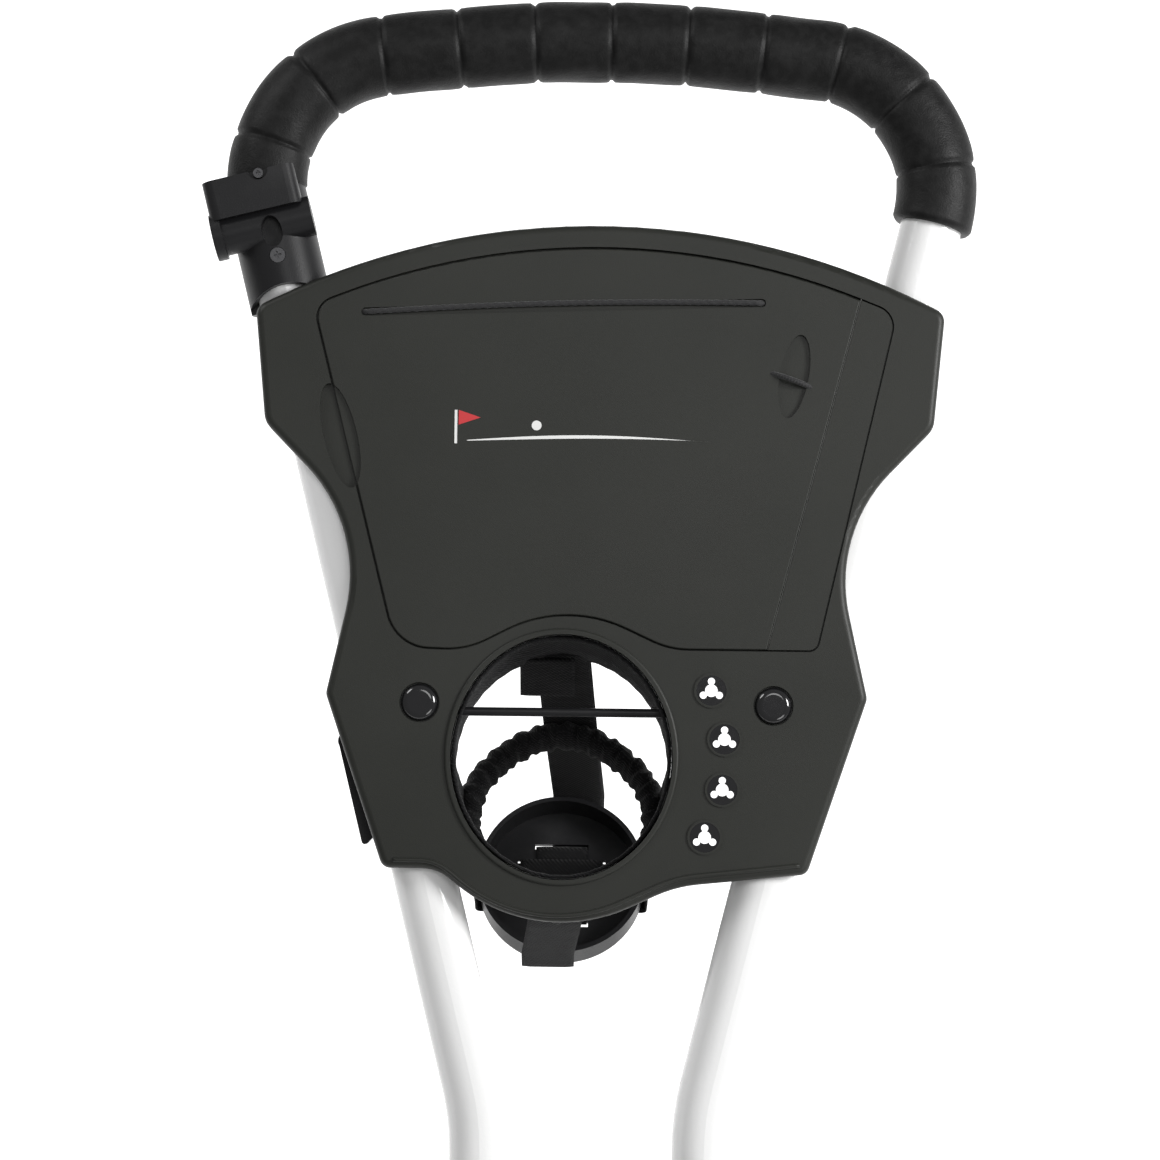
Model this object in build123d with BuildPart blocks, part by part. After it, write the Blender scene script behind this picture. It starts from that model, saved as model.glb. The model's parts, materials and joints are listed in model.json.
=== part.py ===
"""Three-wheel golf push trolley with a folding handle, scorecard console and drinks holder.

Millimetres. +Z is up, the user walks on the +Y side and the single wheel leads at -Y.
The origin lies on the ground under the middle of the trolley's overall box.
"""

import os
from math import atan2, cos, degrees, hypot, radians, sin, sqrt, tan

from build123d import *

# ---- driving dimensions: frame and wheels -------------------------------------------------
pivot_height = 754  # handle pivot above the ground
main_slope = 52  # main tube below the horizontal, down to the front wheel
handle_slope = 23  # handle above the horizontal when it is locked open
front_radius = 120  # front wheel, over the tyre
rear_radius = 145  # rear wheels, over the tyre
rear_setback = 140  # rear axle behind the handle pivot
track = 540  # between the middles of the rear tyres
tyre_width = 42
tyre_depth = 28
main_radius = 19  # main tube, outside
leg_radius = 11  # rear leg tubes, outside
tube_wall = 1.6

# ---- driving dimensions: handle -----------------------------------------------------------
handle_radius = 14  # handle tube, outside
handle_half_gap = 49.5  # each side tube from the middle, at the pivot
handle_splay = 14  # side tubes spread by this angle above the lower bend
handle_corner = 60  # bend radius of the top corners
handle_arch = 6.3  # the top bar falls away from its middle by this angle
arch_radius = 600
bar_reach = 628.6  # pivot to the middle of the top bar
lower_bend_reach = 142  # pivot to the lower bend
grip_radius = 18.5
grip_slack = 0.05  # the sleeve's bore over the tube
console_reach = 245  # pivot to the console's lower reference line

# ---- driving dimensions: console ----------------------------------------------------------
face_height = 20  # console face above the handle tube's axis
face_thickness = 4.5
skirt_depth = 11.5
console_wall = 3
edge_round = 3.4  # round of the console face into its skirt
lid_thickness = 3
lid_gap = 0.8
lid_ledge = 12
tray_depth = 34
opening_u, opening_v = -15.3, 56.9  # middle of the drinks opening
opening_a, opening_b = 49.5, 54.5  # its half axes, across and along the handle
opening_skirt = 24
insert_radius = 6.7
insert_circle = 72.7  # tee inserts stand on this circle about the opening
insert_first, insert_step, insert_count = 24.4, -17.7, 4
clamp_u, clamp_v, clamp_width = 78.5, 80.4, 10
bolt_radius = 2  # console clamp bolts, M4

# ---- driving dimensions: drinks holder ----------------------------------------------------
cup_tilt = 0  # lean of the holder from the vertical: it hangs free
cup_drop = 138  # console face to the dish rim, along the holder's axis
dish_radius = 40
dish_height = 18
dish_wall = 2.2
web_width = 25
web_thick = 1.4

# ---- driving dimensions: joints and fits --------------------------------------------------
pivot_pin = 5  # radius of the handle's pivot bolt
leg_pin = 6  # radius of the rear frame's pivot bolt
axle_radius = 5
running = 0.05  # radial clearance of a turning fit
clear = 0.3  # gap between pieces that slide past each other
housing_half = 30  # half width of the joint housing
housing_radius = 26
knuckle_radius = 17.5
leg_hinge_reach = 95  # handle pivot to the leg hinge, along the main tube
leg_hinge_drop = 40  # leg hinge below the main tube's axis
brake_circle = 48  # brake holes about the rear axle
brake_holes = 12
brake_hole_radius = 5.5
brake_pin_radius = 3

# ---- derived places -----------------------------------------------------------------------
main_dir = Vector(0, -cos(radians(main_slope)), -sin(radians(main_slope)))
main_top = Vector(0, -sin(radians(main_slope)), cos(radians(main_slope)))
deck_dir = Vector(0, cos(radians(handle_slope)), sin(radians(handle_slope)))
deck_normal = Vector(0, -sin(radians(handle_slope)), cos(radians(handle_slope)))
main_length = (pivot_height - front_radius) / sin(radians(main_slope))
front_run = main_length * cos(radians(main_slope))
rear_reach = bar_reach * cos(radians(handle_slope)) + grip_radius
pivot_y = (front_run + front_radius - rear_reach) / 2
pivot = Vector(0, pivot_y, pivot_height)
front_hub = pivot + main_dir * main_length
rear_hub_y = pivot_y + rear_setback
leg_hinge = pivot + main_dir * leg_hinge_reach - main_top * leg_hinge_drop

right = Vector(1, 0, 0)
face = Plane(origin=pivot + deck_dir * console_reach, x_dir=right, z_dir=deck_normal)
side = Plane(origin=pivot, x_dir=(0, 1, 0), z_dir=right)
cup_dir = Vector(0, -sin(radians(cup_tilt)), cos(radians(cup_tilt)))
opening_centre = face.from_local_coords((opening_u, opening_v, face_height))
dish = Plane(origin=opening_centre - cup_dir * cup_drop, x_dir=right, z_dir=cup_dir)

splay = radians(handle_splay)
bend_v = lower_bend_reach - console_reach
arch = radians(handle_arch)
crown_v = bar_reach - console_reach + arch_radius * (1 / cos(arch) - 1)
corner_v = (crown_v - (handle_half_gap - bend_v * tan(splay)) * tan(arch)) / (
    1 + tan(splay) * tan(arch)
)
corner_half_width = handle_half_gap + (corner_v - bend_v) * tan(splay)


def tube_u(v):
    """Distance of a side tube's axis from the middle, at v along the handle."""
    return handle_half_gap + max(0, v - bend_v) * tan(splay)


def along_tube(sign, v, h=0.0):
    """Plane across one splayed side tube: z along the tube, upwards, and y off the face."""
    tube_dir = right * (sign * sin(splay)) + deck_dir * cos(splay)
    across = right * cos(splay) - deck_dir * (sign * sin(splay))
    return Plane(
        origin=face.from_local_coords((sign * tube_u(v), v, h)), x_dir=across, z_dir=tube_dir
    )


def across_main(reach):
    """Plane across the main tube, this far from the handle pivot."""
    return Plane(origin=pivot + main_dir * reach, x_dir=right, z_dir=main_dir)


def save(builder, name):
    builder.part.label = name
    export_step(builder.part, f"parts/{name}.step")


os.makedirs("parts", exist_ok=True)

# ---- handle tube and grip -----------------------------------------------------------------
foot_v = 22 - console_reach
handle_route = [
    (-handle_half_gap, foot_v),
    (-handle_half_gap, bend_v),
    (-corner_half_width, corner_v),
    (0, crown_v),
    (corner_half_width, corner_v),
    (handle_half_gap, bend_v),
    (handle_half_gap, foot_v),
]
handle_bends = [120, handle_corner, arch_radius, handle_corner, 120]

with BuildPart() as handle_tube:
    with BuildLine(face) as route:
        FilletPolyline(*handle_route, radius=handle_bends)
    with BuildSketch(Plane(origin=route.line @ 0, z_dir=route.line % 0)):
        Circle(handle_radius)
        Circle(handle_radius - tube_wall, mode=Mode.SUBTRACT)
    sweep(path=route.line)
save(handle_tube, "handle_tube")

with BuildPart() as handle_core:
    with BuildLine(face) as route:
        FilletPolyline(*handle_route, radius=handle_bends)
    with BuildSketch(Plane(origin=route.line @ 0, z_dir=route.line % 0)):
        Circle(handle_radius)
    sweep(path=route.line)

grip_v = corner_v - 69
grip_left_cut = 14
with BuildPart() as handle_grip:
    with BuildLine(face) as route:
        FilletPolyline(
            (-tube_u(grip_v), grip_v),
            (-corner_half_width, corner_v),
            (0, crown_v),
            (corner_half_width, corner_v),
            (tube_u(grip_v), grip_v),
            radius=[handle_corner, arch_radius, handle_corner],
        )
    with BuildSketch(Plane(origin=route.line @ 0, z_dir=route.line % 0)):
        Circle(grip_radius)
        Circle(handle_radius + grip_slack, mode=Mode.SUBTRACT)
    sweep(path=route.line)
    with BuildSketch(along_tube(-1, grip_v)):
        Circle(grip_radius + 6)
    extrude(amount=grip_left_cut, mode=Mode.SUBTRACT)
save(handle_grip, "handle_grip")

# ---- console ------------------------------------------------------------------------------
console_points = [
    (0, 333.8, 330),
    (154.5, 257, 6),
    (149.5, 205, 10),
    (104, 158, 70),
    (120.4, 84, 6),
    (94, 6, 5),
    (36, 0, 60),
    (-26.6, -28.9, 73),
    (-69.5, 7, 20),
    (-94, 7, 5),
    (-120.4, 84, 6),
    (-104, 158, 70),
    (-149.5, 205, 10),
    (-154.5, 257, 6),
]
lid_points = [
    (0, 309.3, 318),
    (133, 256.6, 10),
    (98, 104.5, 5),
    (32, 104.5, 40),
    (-14, 126, 60),
    (-58, 103.5, 38),
    (-90, 104.5, 20),
    (-129, 258, 10),
]
tray_points = [
    (0, 309.3, 318),
    (126, 259.4, 10),
    (91, 104.5, 5),
    (32, 104.5, 40),
    (-14, 126, 60),
    (-58, 103.5, 38),
    (-90, 104.5, 20),
    (-129, 258, 10),
]
hinge_foot = (75.7, 105.4)
hinge_head = (117, 264.4)
hinge_turn = atan2(hinge_head[1] - hinge_foot[1], hinge_head[0] - hinge_foot[0])


def outline(points, grow=0.0):
    """Closed outline with its own radius at each corner, grown or shrunk all round."""
    with BuildLine() as edge:
        FilletPolyline(
            *[(p[0], p[1]) for p in points], radius=[p[2] for p in points], close=True
        )
    make_face(edge.line.edges())
    if grow:
        offset(amount=grow, kind=Kind.INTERSECTION)


def insert_places():
    return PolarLocations(
        insert_circle, insert_count, insert_first, insert_step * insert_count, rotate=False
    )


lid_floor = face_height - lid_thickness
scoop_v = 199
scoop_u = -115.5
with BuildPart() as console_shell:
    with BuildSketch(face.offset(face_height - face_thickness)):
        outline(console_points)
    extrude(amount=face_thickness)
    fillet(console_shell.faces().sort_by(Axis((0, 0, 0), deck_normal))[-1].edges(), edge_round)
    with BuildSketch(face.offset(face_height - face_thickness)):
        outline(console_points)
        offset(amount=-console_wall, mode=Mode.SUBTRACT)
    extrude(amount=-skirt_depth)
    with BuildSketch(face.offset(face_height + 1.2)):
        with Locations((opening_u, opening_v)):
            Ellipse(opening_a + 2.5, opening_b + 2.5)
    extrude(amount=-opening_skirt - 1.2)
    fillet(console_shell.faces().sort_by(Axis((0, 0, 0), deck_normal))[-1].edges(), 1.0)
    with BuildSketch(face.offset(face_height + 0.7)):
        with Locations((opening_u, opening_v)):
            with insert_places():
                Circle(insert_radius + 1.0)
    extrude(amount=-face_thickness - 2.7)
    with BuildSketch(face.offset(face_height + 2)):
        with Locations((opening_u, opening_v)):
            Ellipse(opening_a, opening_b)
            with insert_places():
                Circle(insert_radius)
        with Locations((clamp_u, clamp_v), (-clamp_u, clamp_v)):
            Circle(bolt_radius)
    extrude(amount=-opening_skirt - 4, mode=Mode.SUBTRACT)
    with BuildSketch(face.offset(face_height)):
        with Locations((clamp_u, clamp_v), (-clamp_u, clamp_v)):
            Circle(8.9)
    extrude(amount=-2, mode=Mode.SUBTRACT)
    with BuildSketch(face.offset(lid_floor)):
        outline(lid_points)
    extrude(amount=lid_thickness + 1, mode=Mode.SUBTRACT)
    with BuildSketch(face.offset(lid_floor + 1)):
        outline(tray_points, -lid_ledge)
    extrude(amount=-8, mode=Mode.SUBTRACT)
    with BuildSketch(face.offset(face_height)):
        with Locations(Location((scoop_u, scoop_v), handle_splay)):
            Ellipse(7.5, 24)
    extrude(amount=-2.6, mode=Mode.SUBTRACT)
    add(handle_core.part, mode=Mode.SUBTRACT)
save(console_shell, "console_shell")

with BuildPart() as console_tray:
    with BuildSketch(face.offset(face_height - face_thickness)):
        outline(tray_points, -lid_ledge + 2.5)
    extrude(amount=-tray_depth)
    with BuildSketch(face.offset(face_height - face_thickness)):
        outline(tray_points, -lid_ledge)
    extrude(amount=-tray_depth + 2.5, mode=Mode.SUBTRACT)
save(console_tray, "console_tray")

# ---- lid, its fixed strip and the elastics ------------------------------------------------
hinge_mid = ((hinge_foot[0] + hinge_head[0]) / 2, (hinge_foot[1] + hinge_head[1]) / 2)
hinge_gap = 0.6
hinge_box = 400


def lid_side(sign):
    """Half of the lid's outline on one side of the hinge line."""
    outline(lid_points, -lid_gap)
    shift = sign * (hinge_box / 2 + hinge_gap / 2)
    place = Location(
        (hinge_mid[0] + shift * sin(hinge_turn), hinge_mid[1] - shift * cos(hinge_turn)),
        degrees(hinge_turn) - 90,
    )
    with Locations(place):
        Rectangle(hinge_box, hinge_box, mode=Mode.INTERSECT)


elastic_from = (-107, 254.7)
elastic_to = (74, 260.6)
elastic_turn = degrees(atan2(elastic_to[1] - elastic_from[1], elastic_to[0] - elastic_from[0]))
elastic_length = hypot(elastic_to[0] - elastic_from[0], elastic_to[1] - elastic_from[1])
elastic_mid = ((elastic_from[0] + elastic_to[0]) / 2, (elastic_from[1] + elastic_to[1]) / 2)
elastic_radius = 1.2
pencil_mid = (86.8, 227.7)
pencil_turn = -10
with BuildPart() as scorecard_lid:
    with BuildSketch(face.offset(lid_floor)):
        lid_side(-1)
    extrude(amount=lid_thickness)
    fillet(scorecard_lid.faces().sort_by(Axis((0, 0, 0), deck_normal))[-1].edges(), 0.6)
    with BuildSketch(face.offset(face_height)):
        with Locations(Location(elastic_mid, elastic_turn)):
            SlotOverall(elastic_length, 3.8)
    extrude(amount=-1.5, mode=Mode.SUBTRACT)
    with BuildSketch(face.offset(face_height)):
        with Locations(Location(pencil_mid, pencil_turn)):
            Ellipse(6.5, 19)
    extrude(amount=-1.6, mode=Mode.SUBTRACT)
    with BuildSketch(face.offset(face_height)):
        with Locations(Location((scoop_u, scoop_v), handle_splay)):
            Ellipse(7.5, 24)
    extrude(amount=-1.4, mode=Mode.SUBTRACT)
save(scorecard_lid, "scorecard_lid")

with BuildPart() as lid_hinge_strip:
    with BuildSketch(face.offset(lid_floor)):
        lid_side(1)
    extrude(amount=lid_thickness)
save(lid_hinge_strip, "lid_hinge_strip")

with BuildPart() as card_elastic:
    start = face.from_local_coords((*elastic_from, face_height - 1.5 + elastic_radius + 0.05))
    end = face.from_local_coords((*elastic_to, face_height - 1.5 + elastic_radius + 0.05))
    run = end - start
    with BuildSketch(Plane(origin=start + run * 0.012, z_dir=run)):
        Circle(elastic_radius)
    extrude(amount=run.length * 0.976)
save(card_elastic, "card_elastic")

with BuildPart() as pencil_elastic:
    loop_from = face.from_local_coords((76.3, 229.3, face_height + elastic_radius + 0.05))
    loop_to = face.from_local_coords((96.5, 222.2, face_height + elastic_radius + 0.05))
    run = loop_to - loop_from
    with BuildSketch(Plane(origin=loop_from, z_dir=run)):
        Circle(elastic_radius)
    extrude(amount=run.length)
save(pencil_elastic, "pencil_elastic")

# ---- console fittings ---------------------------------------------------------------------
with BuildPart() as tee_inserts:
    with BuildSketch(face.offset(face_height + 0.5)):
        with Locations((opening_u, opening_v)):
            with insert_places():
                Circle(insert_radius)
    extrude(amount=-face_thickness - 2)
    with BuildSketch(face.offset(face_height + 1)):
        with Locations((opening_u, opening_v)):
            with insert_places():
                Circle(2.8, mode=Mode.ADD)
                with PolarLocations(2.9, 3, 90):
                    Rectangle(4.0, 1.8)
                with PolarLocations(4.1, 3, 90):
                    Circle(1.6)
    extrude(amount=-face_thickness - 4, mode=Mode.SUBTRACT)
save(tee_inserts, "tee_inserts")

head_radius = 8.2
head_height = 3.6
with BuildPart() as console_bolts:
    with BuildSketch(face.offset(face_height - 2)):
        with Locations((clamp_u, clamp_v), (-clamp_u, clamp_v)):
            Circle(head_radius)
    extrude(amount=head_height)
    top_faces = console_bolts.faces().sort_by(Axis((0, 0, 0), deck_normal))[-2:]
    fillet(top_faces.edges(), head_height - 0.4)
    with BuildSketch(face.offset(face_height - 2)):
        with Locations((clamp_u, clamp_v), (-clamp_u, clamp_v)):
            Circle(bolt_radius)
    extrude(amount=-(face_height - 2) - 21)
save(console_bolts, "console_bolts")

clamp_floor = 17
with BuildPart() as console_clamps:
    with BuildSketch(face.offset(face_height - face_thickness)):
        with Locations((clamp_u + 11, clamp_v), (-clamp_u - 11, clamp_v)):
            Rectangle(38, clamp_width)
    extrude(amount=-(face_height - face_thickness) - clamp_floor)
    with BuildSketch(face.offset(face_height)):
        with Locations((clamp_u, clamp_v), (-clamp_u, clamp_v)):
            Circle(bolt_radius)
    extrude(amount=-60, mode=Mode.SUBTRACT)
    add(handle_core.part, mode=Mode.SUBTRACT)
    add(console_shell.part, mode=Mode.SUBTRACT)
save(console_clamps, "console_clamps")

with BuildPart() as clamp_nuts:
    with BuildSketch(face.offset(-clamp_floor)):
        with Locations((clamp_u, clamp_v), (-clamp_u, clamp_v)):
            RegularPolygon(4, 6)
            Circle(bolt_radius, mode=Mode.SUBTRACT)
    extrude(amount=-3.2)
save(clamp_nuts, "clamp_nuts")

bar_v = 77
bar_h = 6
with BuildPart() as cup_bar:
    with BuildSketch(Plane(origin=face.from_local_coords((-90, bar_v, bar_h)), z_dir=right)):
        Circle(2)
    extrude(amount=150)
    with BuildSketch(face.offset(face_height)):
        with Locations((opening_u, opening_v)):
            Ellipse(opening_a, opening_b)
    extrude(amount=-60, mode=Mode.INTERSECT)
save(cup_bar, "cup_bar")

# ---- drinks holder ------------------------------------------------------------------------
with BuildPart() as cup_dish:
    with BuildSketch(dish):
        Circle(dish_radius)
    extrude(amount=-dish_height)
    fillet(cup_dish.edges().sort_by(Axis((0, 0, 0), cup_dir))[0], 3)
    with BuildSketch(dish):
        Circle(dish_radius - dish_wall)
    extrude(amount=-dish_height + dish_wall, mode=Mode.SUBTRACT)
    with BuildSketch(dish.offset(-dish_height)):
        with GridLocations(dish_radius, 0, 2, 1):
            Rectangle(2.6, web_width + 1)
        with GridLocations(0, dish_radius, 1, 2):
            Rectangle(web_width + 1, 2.6)
    extrude(amount=dish_wall, mode=Mode.SUBTRACT)
save(cup_dish, "cup_dish")

lean = radians(handle_slope - cup_tilt)
skirt_drop = (opening_skirt + 1) * cos(lean)


def web(turn, reach, top, sway):
    """One webbing leg: under the dish, up its side and out to the console's underside."""
    low = -dish_height - 0.3
    out = dish_radius + 0.3
    profile_plane = Plane(origin=dish.origin, x_dir=turn, z_dir=turn.cross(cup_dir))
    with BuildSketch(profile_plane) as profile:
        Polygon(
            (14, low),
            (out, low),
            (out, -1),
            (reach + sway, top),
            (reach + sway + web_thick, top),
            (out + web_thick, -2),
            (out + web_thick, low - web_thick),
            (14, low - web_thick),
            align=None,
        )
    extrude(profile.sketch, amount=web_width / 2, both=True)


up_face = Vector(0, cos(radians(cup_tilt)), sin(radians(cup_tilt)))
with BuildPart() as cup_webbing:
    rise = opening_b * sin(lean)
    shift = skirt_drop * tan(lean)
    base = cup_drop - skirt_drop - 5
    web(up_face, opening_b * cos(lean) + shift - 2, base + rise, 0)
    web(-up_face, opening_b * cos(lean) - shift - 2, base - rise, 0)
    web(right, opening_a, base, 0)
    web(-right, opening_a, base, 0)
save(cup_webbing, "cup_webbing")

band_height = 16
band_level = 56
band_radius = dish_radius - 4
with BuildPart() as cup_band:
    with BuildSketch(dish.offset(band_level)):
        Circle(band_radius + 1.4)
        Circle(band_radius - 1.4, mode=Mode.SUBTRACT)
    extrude(amount=band_height)
save(cup_band, "cup_band")

# ---- umbrella bracket ---------------------------------------------------------------------
bracket_v = 287
bracket_length = 56
barrel_radius = 9
barrel_rise = 8  # barrel's axis above the bracket's middle, along the tube
barrel_lift = 12
barrel_end = 26.5  # tube axis to the barrel's mouth
flange_step = 1.6
socket_radius = 4
socket_depth = barrel_end - handle_radius - 0.5
cap_from, cap_length = 14, 18  # square cap over the sleeve's top, along the tube
lower_screw = -7
sleeve = along_tube(-1, bracket_v)
barrel = Plane(
    origin=sleeve.from_local_coords((0, 0, barrel_rise)) + deck_normal * barrel_lift,
    x_dir=deck_normal,
    z_dir=-sleeve.x_dir,
)


def bracket_face(across, up, lift):
    """Plane looking off the console face, at a place on the bracket."""
    return Plane(
        origin=sleeve.from_local_coords((across, 0, up)) + deck_normal * lift,
        x_dir=sleeve.x_dir,
        z_dir=deck_normal,
    )


with BuildPart() as umbrella_bracket:
    with BuildSketch(sleeve.offset(-bracket_length / 2)):
        Circle(grip_radius)
    extrude(amount=bracket_length)
    with BuildSketch(sleeve.offset(cap_from)):
        with Locations((-5, -10)):
            RectangleRounded(42, 24, 5)
    extrude(amount=cap_length)
    with BuildSketch(barrel.offset(-19)):
        Circle(barrel_radius)
    extrude(amount=19 + barrel_end)
    with BuildSketch(barrel.offset(barrel_end - 4.5)):
        Circle(barrel_radius + flange_step)
    extrude(amount=4.5)
    with BuildSketch(barrel.offset(barrel_end)):
        Circle(socket_radius)
    extrude(amount=-socket_depth, mode=Mode.SUBTRACT)
    with BuildSketch(bracket_face(0, barrel_rise - 4, barrel_lift + 12)):
        Ellipse(4.6, 7)
    extrude(amount=-9, mode=Mode.SUBTRACT)
    with BuildSketch(bracket_face(0, lower_screw, 20)):
        Circle(3.6)
    extrude(amount=-4, mode=Mode.SUBTRACT)
    with BuildSketch(bracket_face(0, cap_from + cap_length, 30)):
        Circle(4.5)
    extrude(amount=-10.5, mode=Mode.SUBTRACT)
    with BuildSketch(bracket_face(-1, -bracket_length / 2 - 20, 30)):
        Circle(28)
    extrude(amount=-30, mode=Mode.SUBTRACT)
    add(handle_core.part, mode=Mode.SUBTRACT)
    add(handle_grip.part, mode=Mode.SUBTRACT)
    add(console_shell.part, mode=Mode.SUBTRACT)
save(umbrella_bracket, "umbrella_bracket")

with BuildPart() as bracket_screws:
    for up, lift, head in ((lower_screw, 16, 3.4), (cap_from + cap_length - 1.5, 19.5, 2.2)):
        with BuildSketch(bracket_face(0, up, lift)):
            Circle(head)
        extrude(amount=2.4)
        with BuildSketch(bracket_face(0, up, lift + 3)):
            Rectangle(head, 0.8)
            Rectangle(0.8, head)
        extrude(amount=-1.6, mode=Mode.SUBTRACT)
save(bracket_screws, "bracket_screws")

# ---- fold catch on the left tube ----------------------------------------------------------
catch_v = 68
catch_half = 4.5
catch_offset = handle_radius + catch_half + 1
catch_length = 48
catch_top = 1
catch_thick = 8
catch_pin = 2
catch_frame = along_tube(-1, catch_v)
catch_plane = Plane(
    origin=catch_frame.origin - catch_frame.x_dir * catch_offset,
    x_dir=catch_frame.x_dir,
    z_dir=deck_normal,
)
with BuildPart() as fold_catch:
    with BuildSketch(catch_plane.offset(catch_top)):
        with BuildLine():
            CenterArc((0, 0), catch_half, 0, 180)
            Line((-catch_half, 0), (-catch_half, -catch_length))
            Line((-catch_half, -catch_length), (catch_half + 0.4, -catch_length + 6))
            Line((catch_half + 0.4, -catch_length + 6), (catch_half - 1, -catch_length + 12))
            Line((catch_half - 1, -catch_length + 12), (catch_half, 0))
        make_face()
        Circle(catch_pin + running, mode=Mode.SUBTRACT)
    extrude(amount=-catch_thick)
    catch_edges = fold_catch.edges().filter_by(Axis((0, 0, 0), deck_normal))
    fillet(catch_edges.sort_by(Axis((0, 0, 0), deck_dir))[0], 1.5)
save(fold_catch, "fold_catch")

with BuildPart() as catch_clip:
    with BuildSketch(catch_frame.offset(-5)):
        Circle(handle_radius + 2.4)
    extrude(amount=10)
    with BuildSketch(catch_plane.offset(catch_top + clear)):
        Circle(catch_half)
        with Locations((catch_half, 0)):
            Rectangle(catch_half * 2, catch_half * 1.8)
    extrude(amount=2.4)
    with BuildSketch(catch_plane.offset(catch_top - catch_thick - clear)):
        Circle(catch_half)
        with Locations((catch_half, 0)):
            Rectangle(catch_half * 2, catch_half * 1.8)
    extrude(amount=-2.4)
    with BuildSketch(catch_plane.offset(catch_top + clear)):
        Circle(catch_half + 3)
        with Locations((0, -catch_half * 2)):
            Rectangle(catch_half * 2 + 2.6, catch_half * 4)
    extrude(amount=-catch_thick - 2 * clear, mode=Mode.SUBTRACT)
    with BuildSketch(catch_plane.offset(catch_top + 6)):
        Circle(catch_pin)
    extrude(amount=-20, mode=Mode.SUBTRACT)
    add(handle_core.part, mode=Mode.SUBTRACT)
    add(console_clamps.part, mode=Mode.SUBTRACT)
    add(console_shell.part, mode=Mode.SUBTRACT)
save(catch_clip, "catch_clip")

with BuildPart() as catch_rivet:
    with BuildSketch(catch_plane.offset(catch_top + clear + 2.4)):
        Circle(catch_pin)
    extrude(amount=-catch_thick - 2 * clear - 4.8)
save(catch_rivet, "catch_rivet")

# ---- handle knuckles, joint housing and pivot ---------------------------------------------
knuckle_half = handle_half_gap - housing_half - 2
with BuildPart() as handle_knuckles:
    for sign in (-1, 1):
        middle = sign * handle_half_gap
        with BuildSketch(side.offset(middle - knuckle_radius)):
            Circle(knuckle_radius + 2.5)
        extrude(amount=2 * knuckle_radius)
        with BuildSketch(Plane(origin=pivot + right * middle, x_dir=right, z_dir=deck_dir)):
            Circle(knuckle_radius)
        extrude(amount=48)
        with BuildSketch(
            Plane(origin=pivot + right * middle + deck_dir * 22, x_dir=right, z_dir=deck_dir)
        ):
            Circle(handle_radius)
        extrude(amount=40, mode=Mode.SUBTRACT)
        with BuildSketch(side.offset(middle - 30)):
            Circle(pivot_pin + running)
        extrude(amount=60, mode=Mode.SUBTRACT)
save(handle_knuckles, "handle_knuckles")

button_radius = 7
button_dir = Vector(0, -0.5, sqrt(0.75))
button_seat = 9
button_length = 23
button_plane = Plane(origin=pivot + button_dir * button_seat, x_dir=right, z_dir=button_dir)
with BuildPart() as joint_housing:
    with BuildSketch(side.offset(-housing_half)):
        Circle(housing_radius)
    extrude(amount=2 * housing_half)
    chamfer(joint_housing.edges().filter_by(GeomType.CIRCLE), 2)
    with BuildSketch(Plane(origin=pivot, x_dir=right, z_dir=main_dir)):
        Circle(main_radius + 4.5)
    extrude(amount=72)
    with BuildSketch(Plane(origin=pivot + main_dir * 30, x_dir=right, z_dir=main_dir)):
        Circle(main_radius)
    extrude(amount=60, mode=Mode.SUBTRACT)
    with BuildSketch(side.offset(-housing_half - 5)):
        Circle(pivot_pin)
    extrude(amount=2 * housing_half + 10, mode=Mode.SUBTRACT)
    with BuildSketch(button_plane):
        Circle(button_radius + clear)
    extrude(amount=40, mode=Mode.SUBTRACT)
save(joint_housing, "joint_housing")

button_travel = 5
with BuildPart() as fold_button:
    with BuildSketch(button_plane.offset(button_travel + 0.5)):
        Circle(button_radius)
    extrude(amount=button_length - button_travel)
    fillet(fold_button.edges().sort_by(Axis((0, 0, 0), button_dir))[-1], 2)
save(fold_button, "fold_button")

with BuildPart() as button_spring:
    with BuildSketch(button_plane):
        Circle(5)
        Circle(3.8, mode=Mode.SUBTRACT)
    extrude(amount=button_travel + 0.5)
save(button_spring, "button_spring")

knuckle_face = handle_half_gap + knuckle_radius
with BuildPart() as pivot_bolt:
    with BuildSketch(side.offset(-knuckle_face - 0.5)):
        Circle(pivot_pin)
    extrude(amount=2 * knuckle_face + 9)
    with BuildSketch(side.offset(-knuckle_face - 0.5)):
        Circle(10)
    extrude(amount=-5)
    fillet(pivot_bolt.edges().filter_by(GeomType.CIRCLE).sort_by(Axis.X)[0], 2)
save(pivot_bolt, "pivot_bolt")

with BuildPart() as pivot_nut:
    with BuildSketch(side.offset(knuckle_face + 0.5)):
        RegularPolygon(9, 6)
        Circle(pivot_pin, mode=Mode.SUBTRACT)
    extrude(amount=6)
save(pivot_nut, "pivot_nut")

# ---- main tube ----------------------------------------------------------------------------
crown_reach = main_length - front_radius - 14
with BuildPart() as main_tube:
    with BuildSketch(Plane(origin=pivot + main_dir * 30, x_dir=right, z_dir=main_dir)):
        Circle(main_radius)
        Circle(main_radius - tube_wall, mode=Mode.SUBTRACT)
    extrude(amount=crown_reach - 12 - 30)
save(main_tube, "main_tube")

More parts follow.
